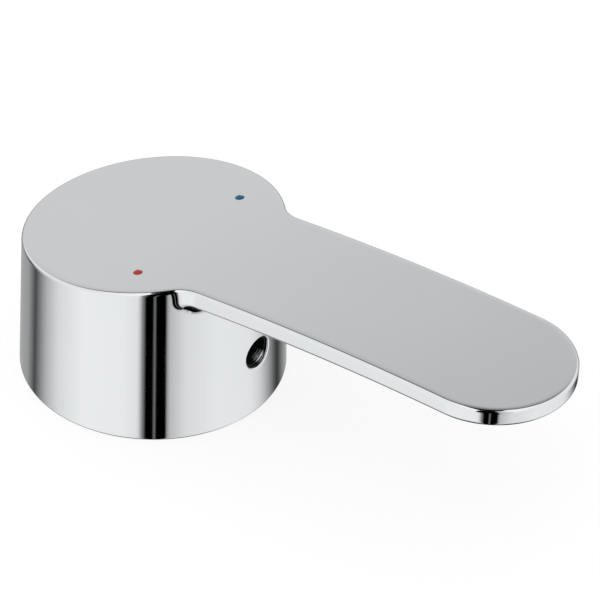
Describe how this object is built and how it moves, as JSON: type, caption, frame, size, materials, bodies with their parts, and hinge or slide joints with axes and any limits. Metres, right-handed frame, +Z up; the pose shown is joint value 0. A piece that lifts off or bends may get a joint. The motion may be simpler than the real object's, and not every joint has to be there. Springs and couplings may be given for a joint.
{
  "type": "replacement tap handle",
  "caption": "Chromed lever handle for a single-lever basin mixer: hollow drum with a sloped top running into a flat round-ended lever, square stem socket and side clamping screw.",
  "frame": {"origin": "on the drum axis, in the plane of the drum's bottom rim", "axes": "+Z up along the drum axis, +X along the lever, so the hot mark is on the -Y side and the cold mark on the +Y side"},
  "size_m": [0.1108, 0.048, 0.0363],
  "materials": {
    "chrome_plate": "mirror-polished bright chrome on zinc die-casting",
    "screw_steel": "turned stainless steel",
    "red_enamel": "glossy enamel fill",
    "blue_enamel": "glossy enamel fill"
  },
  "bodies": {
    "root": {"lever_handle": "chrome_plate", "set_screw": "screw_steel", "hot_mark": "red_enamel", "cold_mark": "blue_enamel"}
  },
  "joints": []
}
